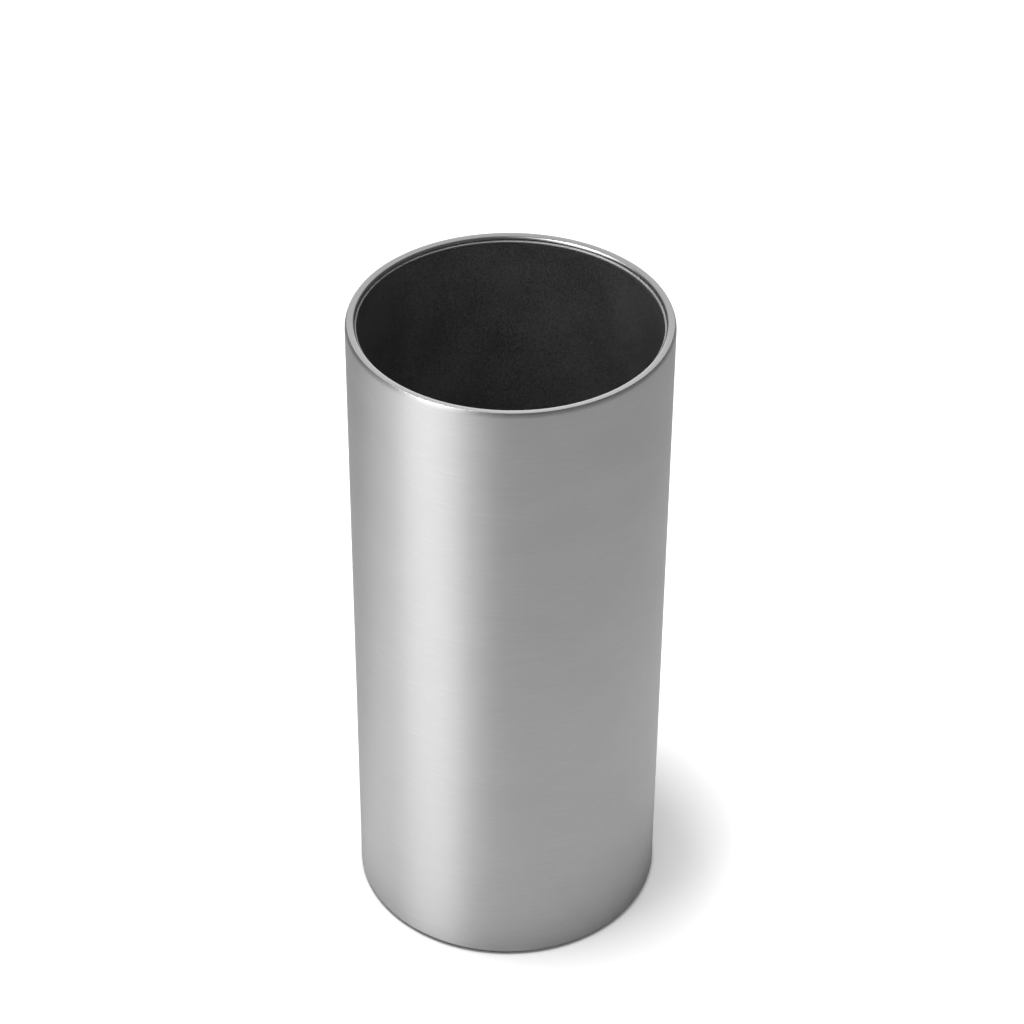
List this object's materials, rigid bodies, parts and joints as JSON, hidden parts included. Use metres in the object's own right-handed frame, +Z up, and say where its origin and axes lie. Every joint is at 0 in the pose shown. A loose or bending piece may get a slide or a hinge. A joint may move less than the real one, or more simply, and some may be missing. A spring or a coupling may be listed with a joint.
{
  "type": "bottle cooler",
  "caption": "Straight double-walled table-top cooler: brushed steel outside with a flat turned-in rim, a dark moulded liner for a wine bottle and a soft foot ring.",
  "frame": {"origin": "on the table, in the middle of the circle on which the foot ring stands", "axes": "+Z up along the cooler's axis and out of its mouth; the cooler is round, so +X and +Y are any two directions square to it"},
  "size_m": [0.11, 0.11, 0.2405],
  "materials": {
    "steel": "satin",
    "liner": "matte",
    "pad": "matte",
    "gasket": "matte",
    "foam": "matte",
    "base": "matte",
    "foot": "matte"
  },
  "bodies": {
    "root": {"outer_shell": "steel", "inner_liner": "liner", "bottle_pad": "pad", "rim_gasket": "gasket", "foam_wrap": "foam", "foam_disc": "foam", "base_plate": "base", "foot_ring": "foot"}
  },
  "joints": []
}
